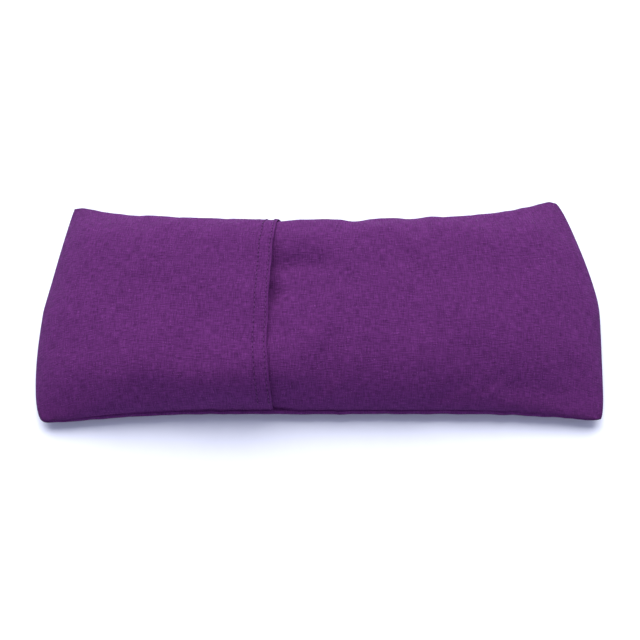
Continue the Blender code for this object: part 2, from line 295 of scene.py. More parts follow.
def simulate_pillow():
    """Top and bottom grids of a closed two-sheet pillow whose seams gather while it is filled."""
    s, t = np.meshgrid(sim_shares(SIM_ROWS), sim_shares(SIM_COLUMNS), indexing="ij")
    top_ids, bottom_ids, faces, inner = closed_grid(s.shape)
    top = smooth_form(s, t, "top").reshape(-1, 3)
    start = np.concatenate([top, smooth_form(s, t, "bottom")[inner]]) * SIM_SCALE
    mesh = bpy.data.meshes.new("creases")
    mesh.from_pydata(start.tolist(), [], faces.tolist())
    sheet = add_object("creases", mesh)
    seam = sheet.vertex_groups.new(name="seam")
    for column, weight in SIM_SEAM:
        for ids in (top_ids, bottom_ids):
            seam.add(np.unique(ids[:, [column, -1 - column]]).tolist(), weight, "REPLACE")
    still = sheet.vertex_groups.new(name="still")
    resting = inner & (np.abs(s) < SIM_REST[0]) & (np.abs(t) < SIM_REST[1])
    still.add(bottom_ids[resting].tolist(), 1, "REPLACE")
    add_cloth(sheet, abs(closed_volume(start, faces)))
    for step in range(1, SIM_FRAMES + 1):
        bpy.context.scene.frame_set(step)
    settled = sheet.evaluated_get(bpy.context.evaluated_depsgraph_get())
    places = np.empty(len(start) * 3, np.float32)
    settled.data.vertices.foreach_get("co", places)
    places = places.reshape(-1, 3).astype(float) / SIM_SCALE
    bpy.context.scene.frame_set(1)
    bpy.data.objects.remove(sheet)
    return places[top_ids], places[bottom_ids]


def add_cloth(sheet, volume):
    """Cloth that is blown up to a given volume, and that gathers at its seams."""
    cloth = sheet.modifiers.new("cloth", "CLOTH")
    fabric = cloth.settings
    fabric.quality = 8
    fabric.mass = 0.1
    fabric.air_damping = 2
    fabric.tension_stiffness = fabric.compression_stiffness = 25
    fabric.shear_stiffness = 8
    fabric.bending_stiffness = 0.15
    fabric.tension_damping = fabric.compression_damping = 10
    fabric.shear_damping = 5
    fabric.bending_damping = 0.5
    fabric.use_pressure = True
    fabric.uniform_pressure_force = 0
    fabric.use_pressure_volume = True
    fabric.target_volume = volume
    fabric.pressure_factor = 10
    fabric.vertex_group_mass = "still"
    fabric.vertex_group_shrink = "seam"
    fabric.shrink_min = -SIM_GROW
    fabric.shrink_max = SIM_GATHER
    fabric.effector_weights.gravity = 0
    cloth.collision_settings.use_collision = False
    cloth.point_cache.frame_start = 1
    cloth.point_cache.frame_end = SIM_FRAMES


def closed_volume(points, faces):
    a, b, c, d = (points[faces[:, k]] for k in range(4))
    return float((np.cross(a, b) * c).sum() + (np.cross(a, c) * d).sum()) / 6


def blurred(top, bottom, steps):
    """Both grids after diffusion over the closed pillow, round the folds and over the seams."""
    ring = np.concatenate([top[:-1], bottom[::-1][:-1]], 0)
    rows = len(ring)
    opposite = (rows - np.arange(rows)) % rows
    for _ in range(steps):
        padded = np.concatenate([ring[opposite, 1:2], ring, ring[opposite, -2:-1]], 1)
        beside = padded[:, :-2] + padded[:, 2:]
        ring = 0.5 * ring + 0.125 * (beside + np.roll(ring, 1, 0) + np.roll(ring, -1, 0))
    half = len(top)
    return ring[:half], np.concatenate([ring[:1], ring[half - 1:][::-1]], 0)


def make_creases():
    """What the simulation adds to the plain form: its short waves, capped."""
    top, bottom = simulate_pillow()
    wide_top, wide_bottom = blurred(top, bottom, BLUR_STEPS)
    found = {"top": top - wide_top, "bottom": bottom - wide_bottom}
    for layer, waves in found.items():
        size = np.linalg.norm(waves, axis=-1, keepdims=True) * CREASE_GAIN + 1e-12
        capped = CREASE_LIMIT * np.tanh(size / CREASE_LIMIT)
        found[layer] = waves * CREASE_GAIN * capped / size
    return found


def cubic_weights(f):
    """Catmull-Rom weights of the four samples round a place."""
    return (
        ((-0.5 * f + 1) * f - 0.5) * f,
        (1.5 * f - 2.5) * f * f + 1,
        ((-1.5 * f + 2) * f + 0.5) * f,
        (0.5 * f - 0.5) * f * f,
    )


def creases_at(s, t, layer):
    """The simulated creases at any shares, by smooth interpolation of their grid."""
    waves = CREASES[layer]
    row = np.interp(s, sim_shares(SIM_ROWS), np.arange(SIM_ROWS + 1))
    column = np.interp(t, sim_shares(SIM_COLUMNS), np.arange(SIM_COLUMNS + 1))
    i = np.minimum(row.astype(int), SIM_ROWS - 1)
    j = np.minimum(column.astype(int), SIM_COLUMNS - 1)
    total = 0
    for k, row_weight in enumerate(cubic_weights(row - i)):
        for m, column_weight in enumerate(cubic_weights(column - j)):
            rows = np.clip(i + k - 1, 0, SIM_ROWS)
            columns = np.clip(j + m - 1, 0, SIM_COLUMNS)
            total = total + (row_weight * column_weight)[..., None] * waves[rows, columns]
    return total


def ripples(x, y, field):
    """A smooth random field, by its name in FIELDS."""
    height, wave, seed = FIELDS[field]
    draw = np.random.default_rng(seed)
    total = 0
    for _ in range(FIELD_WAVES):
        angle = draw.uniform(0, math.pi)
        length = wave * math.exp(draw.normal(0, FIELD_SPREAD))
        phase = draw.uniform(0, 2 * math.pi)
        place = x * math.cos(angle) + y * math.sin(angle)
        total = total + np.cos(2 * math.pi * place / length + phase)
    return height * (total * math.sqrt(2 / FIELD_WAVES))


# ---- hollows in the filling

# beside the lip: their place across, depth, reach along the pillow and width across
LIP_HOLLOWS = (
    (0.22, 0.0027, 0.0190, 0.15),
    (-0.10, 0.0042, 0.0070, 0.16),
    (-0.50, 0.0003, 0.0050, 0.10),
    (-0.93, 0.0020, 0.0085, 0.08),
)
HOLLOW_LEFT = 0.007  # they begin this far under the flap, and deepen over this length
HOLLOW_START = 0.006
SHIFT_ROOM = 0.002  # the bag keeps clear of these hollows when it shifts this far

# on the front side: their places along and across, depth, and widths both ways
FRONT_HOLLOWS = (
    (-0.57, -0.91, 0.0019, 0.080, 0.085),
    (-0.92, -0.90, 0.0006, 0.050, 0.070),
)


def front_hollows(s, t):
    """How deep the filling sinks on the front side under the flap."""
    total = 0
    for place, side, depth, length, width in FRONT_HOLLOWS:
        far = ((s - place) / length) ** 2 + ((t - side) / width) ** 2
        total = total + depth * np.exp(-far)
    return total


def hollows(x, t):
    """How deep the filling sinks beside the lip."""
    right = x - lip_share(t) * HALF_LENGTH
    total = 0
    for place, depth, reach, width in LIP_HOLLOWS:
        across = bell((t - place) / width)
        along = bell(np.maximum(right, 0) / reach) * ease((right + HOLLOW_LEFT) / HOLLOW_START)
        total = total + depth * across * along
    return total


def rim_fade(s, t, width):
    """1 inside the cloth, falling to 0 along its rim."""
    return np.clip((1 - np.abs(s)) * (1 - np.abs(t)) / width, 0, 1)


def skin(s, t, layer, inset=OUTSIDE, sunk=True):
    """The pillow's form with its creases, and with its hollows; those beside the lip if sunk."""
    s = np.asarray(s, float)
    t = np.asarray(t, float)
    points = smooth_form(s, t, layer, inset) + creases_at(s, t, layer)
    if layer == "bottom":
        points[..., 2] = np.maximum(points[..., 2], inset["bottom"])
        return points
    x, y = points[..., 0], points[..., 1]
    points[..., 2] -= front_hollows(s, t)
    if sunk:
        room = SHIFT_ROOM if inset["top"] > 0 else 0
        points[..., 2] -= np.maximum(hollows(x - room, t), hollows(x + room, t))
    uneven = ripples(x, y, "soft") + ripples(x, y, "fine")
    points[..., 2] += rim_fade(s, t, 0.03) * uneven
    return points


def unit(vectors):
    return vectors / np.linalg.norm(vectors, axis=-1, keepdims=True)


def outward(s, t, layer, sunk=True):
    """Unit normals of the skin, pointing out of the pillow."""
    step = 0.004
    s = np.clip(s, -1 + 2 * step, 1 - 2 * step)
    t = np.clip(t, -1 + 2 * step, 1 - 2 * step)
    along = skin(s + step, t, layer, sunk=sunk) - skin(s - step, t, layer, sunk=sunk)
    across = skin(s, t + step, layer, sunk=sunk) - skin(s, t - step, layer, sunk=sunk)
    normal = unit(np.cross(along, across))
    return normal if layer == "top" else -normal


# ---- placing rows and columns


def picks(line, shares, step):
    """Shares along a line whose points lie about a step apart; the step varies along the line."""
    gaps = np.linalg.norm(np.diff(line, axis=0), axis=1)
    places = np.concatenate([[0], np.cumsum(gaps / ((step[1:] + step[:-1]) / 2))])
    count = int(round(places[-1]))
    return np.interp(np.linspace(0, places[-1], count + 1), places, shares)


def dense_shares(start, end):
    return np.sin(np.linspace(math.asin(start), math.asin(end), 6000))


def row_shares(start, end, layer, fine_near=None):
    """Rows along the cloth at mid width, closer together at the ends and near one share."""
    s = dense_shares(start, end)
    line = smooth_form(s, 0 * s, layer)
    at_ends = FINE * 1.6 + (1 - np.abs(s)) * 0.02
    step = np.minimum(COARSE, at_ends)
    if fine_near is not None:
        step = np.minimum(step, FINE + np.abs(s - fine_near) * HALF_LENGTH * 0.08)
    return picks(line, s, step)


def column_shares():
    """Columns across the cloth at mid length, closer together at the sides."""
    t = dense_shares(-1, 1)
    line = smooth_form(0 * t, t, "top")
    return picks(line, t, np.minimum(COARSE, FINE + (1 - np.abs(t)) * 0.012))


# ---- mesh helpers


def distances(line):
    """Distance along a line of points, from its start."""
    return np.concatenate([[0], np.cumsum(np.linalg.norm(np.diff(line, axis=0), axis=1))])


COLUMNS = column_shares()  # of every cloth, and their distances from its edge
ACROSS = distances(smooth_form(0 * COLUMNS, COLUMNS, "top"))


def grid(rows):
    """The shares along and across for some rows of cloth."""
    return np.meshgrid(rows, COLUMNS, indexing="ij")


def add_object(name, data):
    item = bpy.data.objects.new(name, data)
    bpy.context.scene.collection.objects.link(item)
    return item


def add_mesh(name, points, faces, material):
    mesh = bpy.data.meshes.new(name)
    mesh.from_pydata(points.tolist(), [], faces)
    mesh.shade_smooth()
    mesh.materials.append(material)
    return add_object(name, mesh)


def add_values(piece, name, values):
    """Keep a number or a vector for each vertex, for the material to read."""
    kind = "FLOAT" if values.ndim == 1 else "FLOAT_VECTOR"
    slot = "value" if values.ndim == 1 else "vector"
    attribute = piece.data.attributes.new(name, kind, "POINT")
    attribute.data.foreach_set(slot, values.astype(np.float32).ravel())


def add_cloth_piece(name, points, across, material, thickness, flip=False):
    """A grid of cloth with its weave coordinates and its thickness on the inner side."""
    ids = np.arange(points[..., 0].size).reshape(points.shape[:2])
    faces = quads(ids)[:, ::-1] if flip else quads(ids)
    piece = add_mesh(name, points.reshape(-1, 3), faces.tolist(), material)
    weave = np.zeros(points.shape)
    weave[..., 0] = across
    weave[..., 1] = distances(points[:, points.shape[1] // 2])[:, None]
    add_values(piece, "weave_place", weave.reshape(-1, 3))
    shell = piece.modifiers.new("cloth thickness", "SOLIDIFY")
    shell.thickness = thickness
    shell.offset = -1
    shell.use_even_offset = False
    return piece


# ---- the cover's cloth


def lip_share(t):
    """The lip's place along the pillow, as a share of the half length."""
    behind = np.clip((t - LIP_TURN) / (1 - LIP_TURN), 0, 1)
    before = np.clip((LIP_TURN - t) / (1 + LIP_TURN), 0, 1)
    wander = ripples(0 * t, t * HALF_WIDTH, "lip") * (1 - t * t)
    sweep = LIP_BACK_SWEEP * behind ** 2 + LIP_FRONT_SWEEP * before ** 2.6
    return (LIP_X + sweep + wander) / HALF_LENGTH


def seam_turned(points, s, t, layer):
    """Pull the cloth in along the side seams, with the small puckers that a seam makes."""
    x = points[..., 0]
    side = np.sign(t)
    drop = points[..., 2] - edge_height(s)
    reach = np.hypot(drop, 0.5 * (1 - np.abs(t)) * half_width(s, t))
    near = 1 - np.sqrt(1 - np.clip(1 - reach / GROOVE_HEIGHT, 0, 1) ** 2)
    pucker = ripples(x, 0 * x, "pucker")
    deeper = GROOVE_LEAST + GROOVE_MORE * bell((x - LIP_X + GROOVE_LEFT) / GROOVE_SPREAD)
    points[..., 1] -= side * GROOVE * near * (deeper + PUCKER_SHARE * pucker)
    points[..., 1] += side * PUCKER * pucker * np.exp(-reach / PUCKER_REACH)
    if layer == "bottom":
        bulge = bell((drop + BULGE_DROP) / BULGE_HEIGHT) * (1 - s ** 4)
        points[..., 1] += side * BULGE * bulge * ease((np.abs(t) - 0.6) / 0.25)
    wave = ripples(x, 0.3 * points[..., 1], "seam")
    points[..., 2] += wave * np.exp(-reach / 0.006) * (1 - np.exp(-reach / 0.002))
    at_seam = 1 - np.clip(reach / 0.001, 0, 1)
    gap = SEAM_GAP * at_seam * np.clip((1 - np.abs(s)) / 0.01, 0, 1)
    points[..., 2] += gap if layer == "top" else -gap
    points[..., 2] = np.maximum(points[..., 2], 0)
    return points


def with_allowances(points):
    """Add columns on both sides: the cloth that is turned in behind the side seams."""
    turned = np.zeros((len(TURNED_SHARES), 3))
    turned[:, 1] = TURNED_SHARES * ALLOWANCE
    return np.concatenate([points[:, :1] + turned[::-1], points, points[:, -1:] - turned], 1)


def widened(values):
    """Weave coordinates of the columns, those of the allowances included."""
    extra = TURNED_SHARES * ALLOWANCE
    return np.concatenate([values[0] - extra[::-1], values, values[-1] + extra])


def add_cover_piece(name, parts, material):
    """A piece of the cover's cloth from its parts along the strip."""
    points = with_allowances(np.concatenate(parts))
    return add_cloth_piece(name, points, widened(ACROSS), material, LINEN, flip=True)


def underside(start, end):
    """The cloth under the pillow, from one share along it to another."""
    s, t = grid(row_shares(start, end, "bottom"))
    return seam_turned(skin(s, t, "bottom"), s, t, "bottom")


def flap_rise(e, t):
    """Height of the flap's outside above the panel's, at a distance e from the lip."""
    hem = ease((HEM_FADE[0] - e) / HEM_FADE[1])
    rise = LAYER_RISE + (HEM_RISE - LAYER_RISE) * hem
    rise = rise * (1 - ease((e - PANEL_FADE[0]) / PANEL_FADE[1]))
    wave = 1 + ripples(0 * t, t * HALF_WIDTH, "gape")
    gape = LIP_GAPE * np.exp(-((e / GAPE_REACH) ** 1.5)) * np.clip(wave, 0.5, 1.5)
    dips = 0
    for row in (EDGE_ROW, HEM_ROW):
        dips = dips + ROW_DIP * bell((e - row) / ROW_WIDTH)
    pinch = 1 - 0.70 * np.abs(t) ** 4 - 0.25 * np.abs(t) ** 14
    return (rise + gape * (1 - t ** 4)) * pinch - dips * (1 - np.abs(t) ** 12)


def flap_points(e, t, offset):
    """The flap's cloth at a distance e back from its lip, offset out of or into it."""
    lip = lip_share(t)
    s = lip - (lip + 1) * e / FLAP_REACH
    points = seam_turned(skin(s, t, "top", sunk=False), s, t, "top")
    rise = flap_rise(e, t) + offset
    return points + outward(s, t, "top", sunk=False) * rise[..., None]


def hem_turn(step):
    """Distances from the edge and offsets of a hem's rows, from the raw edge round to the face."""
    rows = [(e, -2 * FOLD_RADIUS) for e in np.arange(HEM_WIDTH, FOLD_RADIUS, -step)]
    for degrees in range(180, 0, -30):
        angle = math.radians(degrees)
        across = FOLD_RADIUS * (1 - math.sin(angle))
        rows.append((across, FOLD_RADIUS * (math.cos(angle) - 1)))
    return np.array(rows).T


def make_flap(material):
    """The left part of the strip: the hemmed lip, the flap, the left fold and some underside."""
    middle = LIP_X / HALF_LENGTH
    top = row_shares(middle - FOLD_RADIUS / HALF_LENGTH, -1, "top", fine_near=middle)
    turn_e, turn_offset = hem_turn(COARSE * 0.7)
    e = np.concatenate([turn_e, (middle - top) * HALF_LENGTH])
    offset = np.concatenate([turn_offset, 0 * top])
    upper = flap_points(*grid(np.minimum(e, FLAP_REACH)), offset[:, None])
    lower = underside(-1, JUNCTION_X / HALF_LENGTH)[1:]
    return add_cover_piece("cover_flap_cloth", [upper, lower], material)


def panel_points(s, t, offset):
    """The right-hand panel's top, which runs on under the flap and is free of the seams there."""
    free = ease((SEWN_X - s * HALF_LENGTH) / 0.006)
    t_in = t * (1 - (1 - FREE_SHARE) * free)
    points = skin(s, t_in, "top")
    sewn = seam_turned(points.copy(), s, t_in, "top")
    right = (s - lip_share(t)) * HALF_LENGTH
    fade = np.exp(-np.clip(right, 0, None) / 0.011) * ease((right + 0.006) / 0.006)
    ridge = ripples(0.1 * points[..., 0], points[..., 1], "panel") * fade
    ridge = ridge * (1 - np.abs(t) ** 6)
    sink = PANEL_SINK * np.abs(t) ** 6 * ease((0.010 - right) / 0.009)
    return sewn + outward(s, t_in, "top") * (ridge - sink + offset)[..., None]


def make_strip(material):
    """The rest of the strip: the underside, the right fold, the panel and its hidden hem."""
    hem = HEM_X / HALF_LENGTH
    lower = underside(JUNCTION_X / HALF_LENGTH, 1)
    top = row_shares(1, hem + FOLD_RADIUS / HALF_LENGTH, "top", fine_near=LIP_X / HALF_LENGTH)[1:]
    turn_e, turn_offset = hem_turn(COARSE)[:, ::-1]
    s = np.concatenate([top, hem + turn_e / HALF_LENGTH])
    offset = np.concatenate([0 * top, turn_offset])
    upper = panel_points(*grid(s), offset[:, None])
    return add_cover_piece("cover_strip_cloth", [lower, upper], material)


def blend_with_flap(piece):
    """Bake the piece's placement into its mesh and read out its points."""
    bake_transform(piece)
    points = np.empty(len(piece.data.vertices) * 3, np.float32)
    piece.data.vertices.foreach_get("co", points)


# ---- threads

THREAD = 0.0002  # radius of the thread
SEAM_THREAD = 0.00018
CLOSING_THREAD = 0.00022
STITCH = 0.0021  # from one stitch of a hem to the next
ROW_GAP = 0.14  # the share of that between two stitches
SEAM_STITCH = 0.0024
SEAM_DEPTH = 0.0012  # how far behind the groove a side seam's thread lies
BAG_STITCH = 0.0026
RINGS = 7  # of a stitch's tube, with this many points each
SIDES = 8
PLY_DEPTH = 0.13  # of the thread's two plies, as a share of its radius
PLY_TURNS = 1.7


def sampled(places, along, values):
    """Vectors that are known along a line, at other places on it."""
    return np.stack([np.interp(places, along, values[:, k]) for k in range(3)], -1)


def stitch_rings(centre, up, ahead, share, turn, radius):
    """The points of the stitches' rings, smaller towards both ends."""
    beside = np.cross(up, ahead)
    wide = radius * (0.45 + 0.55 * np.sin(math.pi * (0.06 + 0.88 * share)) ** 0.5)
    twist = 2 * (turn[None, :] - share[:, None] * math.pi * PLY_TURNS)
    ring = wide[:, None] * (1 + PLY_DEPTH * np.cos(twist))
    ways = np.cos(turn)[:, None] * beside[:, :, None] + np.sin(turn)[:, None] * up[:, :, None]
    return centre[:, :, None] + ring[..., None] * ways


def stitch_faces(count):
    """The faces of closed tubes, each with its rings' points and then a point at both ends."""
    end = RINGS * SIDES
    last = end - SIDES
    one = []
    for ring in range(0, last, SIDES):
        for k in range(SIDES):
            n = (k + 1) % SIDES
            one.append((ring + k, ring + n, ring + SIDES + n, ring + SIDES + k))
    for k in range(SIDES):
        n = (k + 1) % SIDES
        one.append((end, n, k))
        one.append((end + 1, last + k, last + n))
    return [tuple(v + tube * (end + 2) for v in face) for tube in range(count) for face in one]


def make_stitches(
    name, line, normals, material, pitch=STITCH, radius=THREAD, gap=0.28, lift=0.00012
):
    """A row of stitches along a line: each one rises from the cloth and dives in again."""
    along = distances(line)
    count = int(along[-1] / pitch)
    pitch = along[-1] / count
    share = np.linspace(0, 1, RINGS)
    turn = np.linspace(0, 2 * math.pi, SIDES, endpoint=False)
    starts = np.arange(count)[:, None] * pitch
    places = starts + (0.5 * gap + (1 - gap) * share) * pitch
    up = unit(sampled(places, along, normals))
    ahead = unit(sampled(places, along, np.gradient(line, axis=0)))
    arch = np.sin(math.pi * (0.08 + 0.84 * share)) ** 0.6
    rise = (arch - 0.75) * radius * 1.6 + lift
    centre = sampled(places, along, line) + up * rise[None, :, None]
    rings = stitch_rings(centre, up, ahead, share, turn, radius).reshape(count, -1, 3)
    points = np.concatenate([rings, centre[:, [0, -1]]], 1)
    piece = add_mesh(name, points.reshape(-1, 3), stitch_faces(count), material)
    end = rings.shape[1]
    thread = np.zeros(points.shape)
    thread[:, :end, 0] = np.repeat(places, SIDES, axis=1)
    thread[:, :end, 1] = np.tile(turn, RINGS) * radius
    thread[:, end:, 0] = places[:, [0, -1]]
    add_values(piece, "thread_place", thread.reshape(-1, 3))
    # each stitch is darkened towards where it goes into the cloth: painted shade in the stitch
    # holes
    dive_shade = np.ones(points.shape[:2])
    dive_shade[:, :end] = np.repeat(np.abs(2 * share - 1) ** 2.5, SIDES)
    add_values(piece, "thread_dive_shade", dive_shade.ravel())
    return piece


def flap_row(name, distance, material):
    """A row of stitches at a distance from the lip."""
    t = np.linspace(-0.985, 0.985, 400)
    e = np.full(len(t), distance)
    line = flap_points(e, t, 0)
    normals = outward(lip_share(t) - distance / HALF_LENGTH, t, "top")
    return make_stitches(name, line, normals, material, gap=ROW_GAP)


def panel_row(name, distance, material):
    """The same on the hidden hem under the flap."""
    t = np.linspace(-0.80, 0.80, 300)
    s = np.full(len(t), (HEM_X + distance) / HALF_LENGTH)
    line = panel_points(s, t, 0)
    normals = outward(s, t, "top")
    return make_stitches(name, line, normals, material, gap=ROW_GAP, lift=0)


def seam_row(name, side, material):
    """The seam's thread, in the turned-in cloth behind the groove."""
    s = np.linspace(-0.93, 0.93, 500)
    t = np.full(len(s), side)
    line = seam_turned(skin(s, t, "top"), s, t, "top")
    line[:, 1] -= side * SEAM_DEPTH
    line[:, 2] -= SEAM_GAP
    normals = np.tile(np.array([0, side, 0]), (len(s), 1))
    return make_stitches(name, line, normals, material, SEAM_STITCH, SEAM_THREAD)


# ---- the insert

BAG_LIFT = 0.0004  # how far each of the bag's cloths is moved out of its place
EDGE_POINTS = 260
BAG_SEAM = 0.0004  # how far outside the bag's edge its seam lies
CLOSING_RISE = 0.0005
ZIGZAG = 0.0006
ZIGZAG_TURNS = 13


def make_bag_panel(name, layer, lift, material):
    """One of the bag's two cloths, with small wrinkles, most of them along its edge."""
    s, t = grid(row_shares(-1, 1, layer))
    points = skin(s, t, layer, BAG_INSET)
    near = np.exp(-np.minimum(1 - np.abs(s), 1 - np.abs(t)) / 0.05)
    wrinkle = ripples(points[..., 0], points[..., 1], "bag") * (0.4 + near)
    points[..., 2] += lift + wrinkle * rim_fade(s, t, 0.02)
    return add_cloth_piece(name, points, ACROSS, material, MUSLIN, flip=layer == "bottom")


def make_bag_seam(material):
    """The thread of the seam round the bag's edge."""
    side = np.linspace(-1, 1, EDGE_POINTS)
    end = np.linspace(-1, 1, EDGE_POINTS // 2)
    s = np.concatenate([side[:-1], np.ones(len(end) - 1), -side[:-1], -np.ones(len(end))])
    t = np.concatenate([-np.ones(len(side) - 1), end[:-1], np.ones(len(side) - 1), -end])
    edge = {key: BAG_INSET[key] - BAG_SEAM for key in ("ends", "sides")}
    inset = {**BAG_INSET, **edge, "top": 0}
    line = smooth_form(s, t, "top", inset) + creases_at(s, t, "top")
    out_x = np.where(np.abs(s) > np.abs(t), s, 0)
    out_y = np.where(np.abs(t) >= np.abs(s), t, 0)
    normals = np.stack([out_x, out_y, 0 * s], -1)
    return make_stitches("insert_seam_thread", line, normals, material, BAG_STITCH)


def make_closing_row(material):
    """The hand-sewn zigzag that closes the bag's filling gap."""
    t = np.linspace(-0.42, 0.42, 160)
    s = np.full(len(t), 0.985)
    normals = outward(s, t, "top")
    line = skin(s, t, "top", BAG_INSET) + normals * CLOSING_RISE
    line[:, 2] += ZIGZAG * np.sin(np.linspace(0, 2 * math.pi * ZIGZAG_TURNS, len(t)))
    radius = CLOSING_THREAD
    return make_stitches("insert_closing_thread", line, normals, material, SEAM_STITCH, radius)


SEED_LENGTH = 0.0046
SEED_WIDTH = 0.0023
SEED_STEP = 0.0026  # a seed lies in each square of this size, moved by up to this share
SEED_JITTER = 0.42
SEED_RELIEF = 0.0009
HEAP_EDGE = 0.004  # the squares reach this far past the half width


def seed_relief(points, seed):
    """Relief and tone of flax seeds and lavender buds lying at the surface of the heap."""
    draw = np.random.default_rng(seed)
    reach = np.array([HALF_LENGTH, HALF_WIDTH + HEAP_EDGE])
    count = (2 * reach / SEED_STEP).astype(int)
    jitter = draw.uniform(-SEED_JITTER, SEED_JITTER, (*count, 2)) * SEED_STEP
    centre = -reach + (np.moveaxis(np.indices(count), 0, -1) + 0.5) * SEED_STEP + jitter
    angle = draw.uniform(0, math.pi, count)
    level = draw.uniform(0, 1, count)
    tone = draw.uniform(0, 1, count)
    square = np.clip(((points[:, :2] + reach) / SEED_STEP).astype(int), 0, count - 1)
    best = np.full(len(points), -1)
    best_tone = np.zeros(len(points))
    for shift in np.ndindex(3, 3):
        near = tuple(np.clip(square + shift - 1, 0, count - 1).T)
        dx, dy = (points[:, :2] - centre[near]).T
        cosine = np.cos(angle[near])
        sine = np.sin(angle[near])
        along = dx * cosine + dy * sine
        beside = dy * cosine - dx * sine
        span = (along / (SEED_LENGTH / 2)) ** 2 + (beside / (SEED_WIDTH / 2)) ** 2
        height = np.sqrt(np.maximum(0, 1 - span)) * (0.55 + 0.45 * level[near])
        taller = height > best
        best = np.where(taller, height, best)
        best_tone = np.where(taller, tone[near], best_tone)
    return best, best_tone


def make_fill(material):
    """The heap of seeds as one closed body."""
    s, t = grid(row_shares(-1, 1, "top"))
    faces, inner = closed_grid(s.shape)[2:]
    top = skin(s, t, "top", FILL_INSET).reshape(-1, 3)
    points = np.concatenate([top, skin(s, t, "bottom", FILL_INSET)[inner]])
    relief, tone = seed_relief(points, 71)
    side = np.where(np.arange(len(points)) < s.size, 1, -1)
    rim = rim_fade(s, t, 0.01)
    share = np.concatenate([rim.ravel(), rim[inner]])
    points[:, 2] += side * share * (relief - 0.5) * SEED_RELIEF
    piece = add_mesh("flax_and_lavender_seeds", points, faces.tolist(), material)
    add_values(piece, "seed_tone", tone)
    # how high each point of a seed stands; the material darkens the lower ones with it as painted
    # shade
    add_values(piece, "seed_depth", relief)
    return piece


# ---- materials


class Shader:
    """The nodes of a new material or world, joined with short calls."""

    def __init__(self, name, kind="materials"):
        self.owner = getattr(bpy.data, kind).new(name)
        self.owner.use_nodes = True
        self.nodes = self.owner.node_tree.nodes
        self.links = self.owner.node_tree.links

    def fill(self, node, inputs):
        for socket, value in inputs.items():
            if isinstance(value, bpy.types.NodeSocket):
                self.links.new(value, node.inputs[socket])
            else:
                node.inputs[socket].default_value = value

    def add(self, kind, output=0, inputs=None, **settings):
        node = self.nodes.new(kind)
        for key, value in settings.items():
            setattr(node, key, value)
        self.fill(node, inputs or {})
        return node.outputs[output]

    def finish(self, inputs):
        self.fill(self.nodes["Principled BSDF"], inputs)
        return self.owner

    def math(self, operation, *values):
        return self.add("ShaderNodeMath", 0, dict(enumerate(values)), operation=operation)

    def times(self, first, second):
        return self.math("MULTIPLY", first, second)

    def place(self, attribute):
        """A vertex vector as its x and y."""
        vector = self.add("ShaderNodeAttribute", "Vector", attribute_name=attribute)
        split = self.nodes.new("ShaderNodeSeparateXYZ")
        self.links.new(vector, split.inputs[0])
        return split.outputs[0], split.outputs[1]

    def noise(self, x, y, width, length, detail=1.5, shift=0):
        """Noise whose spots are `width` wide along x and `length` long along y."""
        spot_x = self.math("DIVIDE", x, width)
        spot_y = self.math("DIVIDE", y, length)
        vector = self.add("ShaderNodeCombineXYZ", 0, {0: spot_x, 1: spot_y, 2: shift})
        inputs = {"Vector": vector, "Scale": 1, "Detail": detail, "Roughness": 0.5}
        return self.add("ShaderNodeTexNoise", 0, inputs)

    def remap(self, value, low, high, to_low=0, to_high=1):
        inputs = {0: value, 1: low, 2: high, 3: to_low, 4: to_high}
        return self.add("ShaderNodeMapRange", 0, inputs, clamp=True)

    def mix(self, factor, first, second, blend="MIX"):
        node = self.nodes.new("ShaderNodeMix")
        node.data_type = "RGBA"
        node.blend_type = blend
        self.fill(node, {0: factor, 6: first, 7: second})
        return node.outputs[2]

    def bump(self, height, distance, strength, **more):
        inputs = {"Height": height, "Distance": distance, "Strength": strength, **more}
        return self.add("ShaderNodeBump", 0, inputs)


SLUB_LENGTH = 0.0036


def yarns(make, across, sway, slub, pitch):
    """One set of yarns: its wave, its tone and its height."""
    sway = make.times(sway, pitch * 1.2)
    wave = make.math("SINE", make.times(make.math("ADD", across, sway), math.pi / pitch))
    tone = make.remap(slub, 0.28, 0.72)
    thick = make.math("MULTIPLY_ADD", tone, 0.5, 0.6)
    return wave, tone, make.times(make.math("ABSOLUTE", wave), thick)


def with_flecks(make, x, y, pitch, level, dark, light):
    """The colour for a level from 0 to 1, with some paler and some deeper flecks."""
    colour = make.mix(level, (*dark, 1), (*light, 1))
    fleck = make.noise(x, y, pitch * 0.8, pitch * 0.8, detail=0, shift=29)
    pale = tuple(1.5 * value + 0.03 for value in light)
    colour = make.mix(make.remap(fleck, 0.72, 0.84, 0, 0.7), colour, (*pale, 1))
    deep = tuple(0.5 * value for value in dark)
    return make.mix(make.remap(fleck, 0.28, 0.16, 0, 0.7), colour, (*deep, 1))


